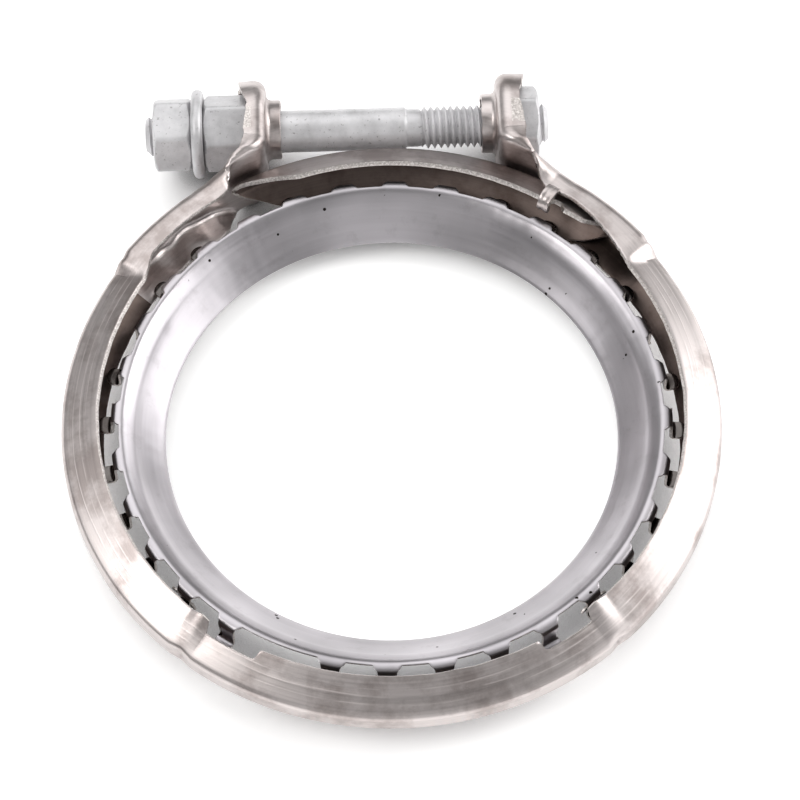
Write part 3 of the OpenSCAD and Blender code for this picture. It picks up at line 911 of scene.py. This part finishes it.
def zinc_plate(colour):
    """Steel, cold forged and zinc plated: matt pale grey with tiny dark pits."""
    # Pits are about 0.2 mm, drawn at 0.7 mm so that they show, on clouds of 4 mm
    material, tree, shader = new_material("steel_zinc_plated")
    place_in = add(tree, "ShaderNodeTexCoord").outputs["Object"]
    clouds = add(tree, "ShaderNodeTexNoise", {"Vector": place_in, "Scale": per(3.846), "Detail": 4.0,
                                              "Roughness": 0.6}).outputs["Fac"]
    pits = add(tree, "ShaderNodeTexNoise", {"Vector": place_in, "Scale": per(0.6667), "Detail": 3.0,
                                            "Roughness": 0.7}).outputs["Fac"]
    tone = add(tree, "ShaderNodeValToRGB", {"Fac": clouds},
               [(0.3, tinted(colour, 0.8)), (0.55, colour), (0.75, tinted(colour, 1.12))])
    dark = add(tree, "ShaderNodeMapRange", {"Value": pits, "From Min": 0.62, "From Max": 0.7,
                                            "To Min": 0.0, "To Max": 0.55})
    base = add(tree, "ShaderNodeMix", {0: dark.outputs[0], 6: tone.outputs["Color"], 7: linear("#5b5654")},
               data_type="RGBA")
    # The plate's dull skin scatters light as paint does, so it is metal only in part
    finish_metal(tree, shader, base.outputs[2], (clouds, 0.34, 0.44), (pits, 0.35, 0.04), metallic=0.3)
    return material


def paper_floor(colour):
    """White paper: matt; it keeps the object's shadow, deepened by painted shade where the clamp closes over
    it.
    """
    material, tree, shader = new_material("paper_white")
    tree.nodes.remove(shader)
    output = tree.nodes[0]
    # Its tone wanders a little over 6.7 mm; the fibres are finer than a pixel and aren't drawn
    place_in = add(tree, "ShaderNodeTexCoord").outputs["Generated"]
    mottle = add(tree, "ShaderNodeTexNoise", {"Vector": place_in, "Scale": 2 * FLOOR_HALF * per(6.667),
                                              "Detail": 2.0})
    tone = add(tree, "ShaderNodeMix", {0: 0.02, 6: colour, 7: mottle.outputs["Fac"]}, data_type="RGBA",
               blend_type="MULTIPLY")
    # Open paper is lifted to full white for the eye; under the clamp ambient occlusion darkens its colour and
    # withdraws the lift, painted shade that is deepest in the narrow gaps between band and ring
    open_share = add(tree, "ShaderNodeAmbientOcclusion", {"Distance": 20 * MM}, samples=16).outputs["AO"]
    shade = add(tree, "ShaderNodeMapRange", {"Value": open_share, "From Min": 0.14, "From Max": 0.3,
                                             "To Min": 0.15, "To Max": 1.0})
    tone = add(tree, "ShaderNodeMix", {0: 1.0, 6: tone.outputs[2], 7: shade.outputs[0]}, data_type="RGBA",
               blend_type="MULTIPLY")
    matt = add(tree, "ShaderNodeBsdfDiffuse", {"Color": tone.outputs[2]})
    lift = add(tree, "ShaderNodeMapRange", {"Value": open_share, "From Min": 0.3, "From Max": 0.6,
                                            "To Min": 0.0, "To Max": 0.38})
    glow = add(tree, "ShaderNodeEmission", {"Color": colour, "Strength": lift.outputs[0]})
    path = add(tree, "ShaderNodeLightPath")
    seen = path.outputs["Is Camera Ray"]
    for other in ("Is Glossy Ray", "Is Transmission Ray"):
        seen = add(tree, "ShaderNodeMath", {0: seen, 1: path.outputs[other]}, operation="MAXIMUM").outputs[0]
    none = add(tree, "ShaderNodeEmission", {"Strength": 0.0})
    share = add(tree, "ShaderNodeMixShader", {0: seen, 1: none.outputs[0], 2: glow.outputs[0]})
    both = add(tree, "ShaderNodeAddShader", {0: matt.outputs[0], 1: share.outputs[0]})
    tree.links.new(both.outputs[0], output.inputs["Surface"])
    return material


# Stage

def camera_axes():
    """Right, up and back of the camera, from the object's turn, its height and its roll."""
    turn, height = math.radians(OBJECT_TURN), math.radians(CAMERA_ELEVATION)
    right = Vector((math.cos(turn), -math.sin(turn), 0))
    into = Vector((math.sin(turn), math.cos(turn), 0))
    back = Vector((0, 0, 1)) * math.sin(height) - into * math.cos(height)
    up = Vector((0, 0, 1)) * math.cos(height) + into * math.sin(height)
    roll = math.radians(CAMERA_ROLL)
    return right * math.cos(roll) - up * math.sin(roll), right * math.sin(roll) + up * math.cos(roll), back


def photo_camera(scene):
    camera = bpy.data.cameras.new("photo_camera")
    camera.sensor_width = 36
    camera.lens = CAMERA_LENS
    camera.shift_x, camera.shift_y = CAMERA_SHIFT
    camera.clip_start, camera.clip_end = 0.01, 50
    holder = bpy.data.objects.new("photo_camera", camera)
    right, up, back = camera_axes()
    turn = Matrix((right, up, back)).transposed().to_4x4()
    holder.matrix_world = Matrix.Translation(back * CAMERA_DISTANCE) @ turn
    scene.collection.objects.link(holder)
    scene.camera = holder


def studio_world(scene):
    world = bpy.data.worlds.new("studio")
    world.use_nodes = True
    tree = world.node_tree
    tree.nodes.clear()
    ways = add(tree, "ShaderNodeTexCoord").outputs["Generated"]
    level = ROOM_LEVEL
    for direction, start, full, more in ROOM_WALLS:
        toward = add(tree, "ShaderNodeVectorMath", {0: ways, 1: Vector(direction).normalized()},
                     operation="DOT_PRODUCT")
        wall = add(tree, "ShaderNodeMapRange", {"Value": toward.outputs["Value"], "From Min": start,
                                                "From Max": full, "To Min": 0.0, "To Max": more},
                   interpolation_type="SMOOTHSTEP")
        level = add(tree, "ShaderNodeMath", {0: level, 1: wall.outputs[0]}, operation="ADD").outputs[0]
    light = add(tree, "ShaderNodeBackground", {"Color": linear("#ffffff"), "Strength": level})
    add(tree, "ShaderNodeOutputWorld", {"Surface": light.outputs[0]})
    scene.world = world


def soft_light(scene, name, place_at, size, power, colour):
    """A softbox that faces the object."""
    lamp = bpy.data.lights.new(name, "AREA")
    lamp.shape = "RECTANGLE"
    lamp.size, lamp.size_y = size
    lamp.energy = power
    lamp.color = linear(colour)[:3]
    holder = bpy.data.objects.new(name, lamp)
    holder.location = place_at
    holder.rotation_euler = (-Vector(place_at)).to_track_quat("-Z", "Y").to_euler()
    scene.collection.objects.link(holder)


class CLAMP_OT_stage(bpy.types.Operator):
    """Camera, soft light, and a white floor with the object's shadow"""
    bl_idname = "clamp.stage"
    bl_label = "Stage"

    def execute(self, context):
        scene = context.scene
        photo_camera(scene)
        studio_world(scene)
        soft_light(scene, "softbox_left", (-0.5, -0.12, 0.6), (0.3, 0.3), 0.8, "#fffdfa")
        soft_light(scene, "softbox_right", (0.6, 0.15, 0.5), (0.25, 0.5), 1.2, "#fffefc")
        mesh = bpy.data.meshes.new("floor")
        low = (BAND_LOW[2] - 0.1) * MM
        corners = ((-1, -1), (1, -1), (1, 1), (-1, 1))
        mesh.from_pydata([(x * FLOOR_HALF, y * FLOOR_HALF, low) for x, y in corners], [], [(0, 1, 2, 3)])
        mesh.materials.append(paper_floor(list(scene.clamp_colours.floor)))
        floor = bpy.data.objects.new("floor", mesh)
        scene.collection.objects.link(floor)
        scene.view_settings.view_transform = "Standard"
        return {"FINISHED"}


def clinched_tab(skin):
    """The band's lip, clinched over the bridge's lip at its fixed end."""
    skin.grid([[[*polar(r + 0.25 * wave(a * 2.1, i * 0.9), a), z + 0.3 * wave(a * 1.7, i * 0.8, 5.0)]
                for i, (r, z) in enumerate(CLINCH_PATH)] for a in np.linspace(*CLINCH_ANGLES, 9)])


def wear_sheet(mesh):
    """Moves the band's points a little out of true, and crumples the crown of the left channel."""
    work = bmesh.new()
    work.from_mesh(mesh)
    for vert in work.verts:
        x, y, z = vert.co / MM
        angle = math.degrees(math.atan2(y, x))
        crumpled = CRUMPLE_DEPTH * bump(angle, CRUMPLE_AT, CRUMPLE_HALF) * (1 - ramp(-0.5, 1.5, z))
        push = sum(depth * wave(*(vert.co * per(size)))
                   for depth, size in (*SHEET_WAVES, (crumpled, CRUMPLE_SIZE)))
        vert.co += vert.normal * push * MM
    work.to_mesh(mesh)
    work.free()


def mark_band(mesh):
    """Gives the band's faces their slots: 0 outside, 1 inside with painted shade, 2 the sheared and torn
    edges.
    """
    sided(mesh, BAND_HOLLOW_R)
    for polygon in mesh.polygons:
        x, y, z, angle = face_place(polygon)
        # Inside the left channel and the ears' cups the faces lie in the light, so they keep the outside
        # colour and not the painted shade; and the cups' feet are torn
        lit_inside = (119 < angle < 147 and y < 50) or (y > 49.2 and abs(x) < 31)
        if polygon.material_index == 1 and lit_inside:
            polygon.material_index = 0
        torn = z > 8.3 and abs(x) > 24.1 and 57.6 + 0.8 * wave(y, x) < y < 62.6
        if polygon.material_index == 0 and torn:
            polygon.material_index = 2


class CLAMP_OT_band(bpy.types.Operator):
    """The pressed band with its two ears"""
    bl_idname = "clamp.band"
    bl_label = "Band"

    def execute(self, context):
        sizes, colours = context.scene.clamp_sizes, context.scene.clamp_colours
        way = Way(sizes)
        stations = way.stations()
        skin = Skin()
        skin.grid([way.ring(u, 1) for u in reversed(stations[1:])] + [way.ring(u, -1) for u in stations])
        collars = Skin()
        for side in (1, -1):
            ear_skin(skin, way, side)
            collar_skin(collars, way, side)
        clinched_tab(skin)
        sheet = skin.mesh("pressed_band")
        wear_sheet(sheet)
        solid = thickened("pressed_band", sheet, mm(sizes.sheet), edge_bevel=0.12)
        mark_band(solid)
        joined = bmesh.new()
        joined.from_mesh(solid)
        joined.from_mesh(collars.mesh("collars"))
        joined.to_mesh(solid)
        joined.free()
        smooth(solid)
        band, inside = list(colours.band), list(colours.band_inside_shade)
        # Slot 1, the faces turned to the hollow, takes the darker inside colour as painted shade
        materials = [stainless_sheet("stainless_satin_strip", band, roughness=0.32, line_radii=LINE_RADII),
                     stainless_sheet("stainless_satin_strip_inside_shade", inside, roughness=0.4),
                     sheared_edge(list(colours.edge))]
        place("pressed_band", solid, materials, "clamp", "clamp_band")
        return {"FINISHED"}


def bridge_ring(sizes, angle):
    """Section of the bridge at an angle: its legs and its crown fade out towards both ends."""
    mid = band_middle(sizes) - mm(sizes.sheet) - BRIDGE_GAP
    to_tongue = math.radians(BRIDGE_END_A - angle) * mid
    to_crimp = math.radians(angle - BRIDGE_END_B) * mid
    round_share = min(1.0, (min(to_tongue, to_crimp) + 0.02) / BRIDGE_TIP_R)
    narrow = math.sqrt(max(0.0, 1 - (1 - round_share) ** 2))
    legs = []
    for i, front in enumerate((-1, 1)):
        share = interpolate(to_tongue, BRIDGE_LEGS_TONGUE[front])
        share *= interpolate(to_crimp, BRIDGE_LEGS_CRIMP[front])
        rag = mm(sizes.raggedness) * wave(angle * 0.5, i * 4.0, 1.0) * ramp(0, 1, share)
        legs.append(max(0.05, BRIDGE_LEG_LEN * share + rag))
    flat = (crown_half(sizes) - BRIDGE_NARROWER) * narrow
    line = channel(flat, BRIDGE_LEG_ANGLE, *legs, corner=CORNER_R * max(narrow, 0.1))
    return [[*polar(mid + offset, angle), z] for offset, z in line]


class CLAMP_OT_bridge(bpy.types.Operator):
    """The bridge segment nested in the band under the gap"""
    bl_idname = "clamp.bridge"
    bl_label = "Bridge segment"

    def execute(self, context):
        sizes, colours = context.scene.clamp_sizes, context.scene.clamp_colours
        skin = Skin()
        skin.grid([bridge_ring(sizes, a) for a in np.linspace(BRIDGE_END_B, BRIDGE_END_A, 110)])
        solid = thickened("bridge_strip", skin.mesh("bridge_strip"), mm(sizes.sheet), edge_bevel=0.1)
        sided(solid, BRIDGE_HOLLOW_R)
        # The bridge's inside takes the band's painted shade, a little lighter; its outside is the band's
        # colour, a little darker
        outside, inside = tinted(list(colours.band), 0.85), tinted(list(colours.band_inside_shade), 1.15)
        materials = [stainless_sheet("stainless_bridge_strip", outside, roughness=0.34),
                     stainless_sheet("stainless_bridge_inside_shade", inside, roughness=0.42),
                     sheared_edge(list(colours.edge))]
        place("bridge_strip", solid, materials, "clamp", "bridge_segment")
        return {"FINISHED"}


def gasket_relief(r, angle):
    """Height of the marks of the press on the cone: an overlapped seam, a jog in the crease, waves."""
    seam = 0.14 * bump(angle, 60, 4.2) ** 0.3 * bump(r, 46.2, 2.0) ** 0.3
    jog = 0.25 * bump(angle, 153, 2.5) * bump(r, 46.4, 1.3)
    return seam + jog + 0.05 * wave(r * 0.8, angle * 0.08) + 0.03 * wave(r * 0.3, angle * 0.5, 7.0)


def gasket_cone(width):
    """Rows of the ring from its bore to the finger roots, which share their points with the fingers."""
    pitch = 360 / FINGER_PLACES
    root = math.degrees((width / 2 + FINGER_FLARE) / RING_LINE[-1][0])
    angles = []
    for i in range(FINGER_PLACES):
        middle = FINGER_PHASE + i * pitch
        angles += [middle + root * c for c in FINGER_ACROSS]
        angles += list(np.linspace(middle + root, middle + pitch - root, 10)[1:-1])
    return [[[*polar(r, a), z + gasket_relief(r, a)] for a in angles] for r, z in RING_LINE]


def finger_half(share, width):
    """Half width of a finger from its root to its tip: flared at the root and a little waisted."""
    return width / 2 - FINGER_WAIST * bump(share, 0.5, 0.35) + FINGER_FLARE * (1 - ramp(0.0, 0.2, share))


def finger_rows(middle, width, short):
    """Rows of one finger, from its root on the ring to its rounded or broken tip."""
    rows = []
    for k, (r, z) in enumerate(FINGER_LINE[:-SHORT_BY] if short else FINGER_LINE):
        share = k / (len(FINGER_LINE) - 1)
        half = math.degrees(finger_half(share, width) / r)
        rounded = 0.0 if short else FINGER_TIP_R * ramp(0.8, 1.0, share)
        row = []
        for c in FINGER_ACROSS:
            angle = middle + half * c
            pull = rounded * (1 - math.sqrt(max(0.0, 1 - c * c)))
            lift = gasket_relief(r, angle) * (1 - ramp(0.0, 0.25, share))
            row.append([*polar(r - pull, angle), z + lift])
        rows.append(row)
    return rows


def barb_rows(middle, width, side):
    """Rows of a small barb at a finger's side."""
    foot = middle + side * math.degrees(width / 2 / BARB[0][0][1])
    return [[[*polar(r, foot + side * reach), z] for r, z in zip(radii, heights)]
            for radii, reach, heights in BARB]


class CLAMP_OT_gasket(bpy.types.Operator):
    """The gasket ring with its fingers"""
    bl_idname = "clamp.gasket"
    bl_label = "Gasket ring"

    def execute(self, context):
        sizes, colours = context.scene.clamp_sizes, context.scene.clamp_colours
        width = mm(sizes.finger_width)
        skin = Skin()
        skin.grid(gasket_cone(width), close_columns=True)
        for i in range(FINGER_PLACES):
            middle = FINGER_PHASE + i * 360 / FINGER_PLACES
            if i != LOST_FINGER:
                skin.grid(finger_rows(middle, width, i in SHORT_FINGERS))
            if i in BARBED_FINGERS:
                for side in (-1, 1):
                    skin.grid(barb_rows(middle, width, side))
        sheet = skin.mesh("sealing_ring", weld=0.005)
        solid = thickened("sealing_ring", sheet, mm(sizes.gasket_sheet), edge_bevel=0.07)
        # The fingers' lower parts take their own darker slot, painted shade of the band over them, all but
        # those on the near side, which lie in the light
        for polygon in solid.polygons:
            x, y, z, _ = face_place(polygon)
            if polygon.material_index < 2:
                polygon.material_index = 1 if math.hypot(x, y) > 49.2 and z < 0.3 and y > -40 else 0
        fingers = list(colours.finger)
        materials = [bright_sheet(list(colours.gasket)),
                     stainless_sheet("stainless_finger_shade", fingers, roughness=0.2, streak_depth=0.02),
                     sheared_edge(list(colours.edge))]
        place("sealing_ring", solid, materials, "clamp", "gasket_ring")
        return {"FINISHED"}


class CLAMP_OT_bolt(bpy.types.Operator):
    """The bolt with its head, shank, thread and stub"""
    bl_idname = "clamp.bolt"
    bl_label = "Bolt"

    def execute(self, context):
        sizes, colours = context.scene.clamp_sizes, context.scene.clamp_colours
        crest = mm(sizes.thread_diameter) / 2 - 0.02
        pitch = mm(sizes.thread_pitch)
        head_a = WASHER_HIGH[0] + SEAT_GAP
        head_b = head_a + HEAD_LEN
        shank_end = head_b + SHANK_LEN
        groove_end = shank_end + GROOVE_W
        groove_r = crest - GROOVE_DEPTH
        skin = Skin()
        threaded(skin, BOLT_LOW[0], head_a + 0.5, crest, pitch, False)
        hexagon(skin, head_a, head_b, mm(sizes.across_flats), HEAD_TURN, 0, lift=0.1)
        # The shank from inside the head, its rounded shoulder and the relief groove under the thread
        turned(skin, [(head_b - 0.5, crest), (head_b + 0.1, crest), (shank_end - 0.35, crest),
                      (shank_end - 0.12, crest - 0.06), (shank_end, crest - 0.2),
                      (shank_end + 0.1, groove_r + 0.05), (shank_end + 0.3, groove_r),
                      (groove_end - 0.2, groove_r), (groove_end + 0.4, groove_r - 0.1)])
        threaded(skin, groove_end, BOLT_HIGH[0], crest, pitch, True)
        mesh = skin.mesh("bolt_with_stub")
        smooth(mesh, angle=50)
        place("bolt_with_stub", mesh, [zinc_plate(list(colours.zinc))], "bolt", "clamp_bolt")
        return {"FINISHED"}


class CLAMP_OT_nuts(bpy.types.Operator):
    """The nut in the ear's cup, the nut on the stub and the washer between it and the head"""
    bl_idname = "clamp.nuts"
    bl_label = "Nuts and washer"

    def execute(self, context):
        sizes, colours = context.scene.clamp_sizes, context.scene.clamp_colours
        across = mm(sizes.across_flats)
        thread_r = mm(sizes.thread_diameter) / 2
        zinc = zinc_plate(list(colours.zinc))
        for name, low, high, turn, body, node in (
                ("nut_in_cup", CAPTIVE_LOW[0], CAPTIVE_HIGH[0], CAPTIVE_TURN, "clamp", "captive_nut"),
                ("nut_on_stub", NUT_LOW[0], NUT_HIGH[0], STUB_NUT_TURN, "nut", "stub_nut")):
            skin = Skin()
            hexagon(skin, low, high, across, turn, thread_r + THREAD_PLAY)
            mesh = skin.mesh(name)
            smooth(mesh, angle=50)
            place(name, mesh, [zinc], body, node)
        skin = Skin()
        start, end = WASHER_LOW[0], WASHER_HIGH[0]
        half = (end - start) / 2
        outer = (WASHER_HIGH[1] - WASHER_LOW[1]) / 2
        hole = thread_r + WASHER_PLAY
        rim = [(start + half - half * math.cos(t), outer - half + half * math.sin(t))
               for t in np.linspace(0, math.pi, 15)]
        bore = [(end, hole + 0.15), (end - 0.15, hole), (start + 0.15, hole), (start, hole + 0.15)]
        turned(skin, bore[3:] + rim + bore[:3], steps=96, closed=True)
        mesh = skin.mesh("round_washer")
        smooth(mesh, angle=50)
        place("round_washer", mesh, [zinc], "washer", "nut_washer")
        return {"FINISHED"}


class CLAMP_PT_panel(bpy.types.Panel):
    """Lists the pieces, the sizes and the colours"""
    bl_label = "Exhaust clamp"
    bl_idname = "CLAMP_PT_panel"
    bl_space_type = "VIEW_3D"
    bl_region_type = "UI"
    bl_category = "Clamp"

    def draw(self, context):
        for group in (context.scene.clamp_sizes, context.scene.clamp_colours):
            box = self.layout.box()
            for name in group.bl_rna.properties.keys():
                if name not in ("rna_type", "name"):
                    box.prop(group, name)
        for operator in OPERATORS:
            self.layout.operator(operator.bl_idname)


OPERATORS = (CLAMP_OT_stage, CLAMP_OT_band, CLAMP_OT_bridge, CLAMP_OT_gasket, CLAMP_OT_bolt, CLAMP_OT_nuts)
CLASSES = (ClampSizes, ClampColours, *OPERATORS, CLAMP_PT_panel)


def register():
    for item in CLASSES:
        bpy.utils.register_class(item)
    bpy.types.Scene.clamp_sizes = bpy.props.PointerProperty(type=ClampSizes)
    bpy.types.Scene.clamp_colours = bpy.props.PointerProperty(type=ClampColours)


def unregister():
    del bpy.types.Scene.clamp_colours
    del bpy.types.Scene.clamp_sizes
    for item in reversed(CLASSES):
        bpy.utils.unregister_class(item)


def main():
    register()
    bpy.ops.clamp.stage()
    bpy.ops.clamp.band()
    bpy.ops.clamp.bridge()
    bpy.ops.clamp.gasket()
    bpy.ops.clamp.bolt()
    bpy.ops.clamp.nuts()


if __name__ == "__main__":
    main()
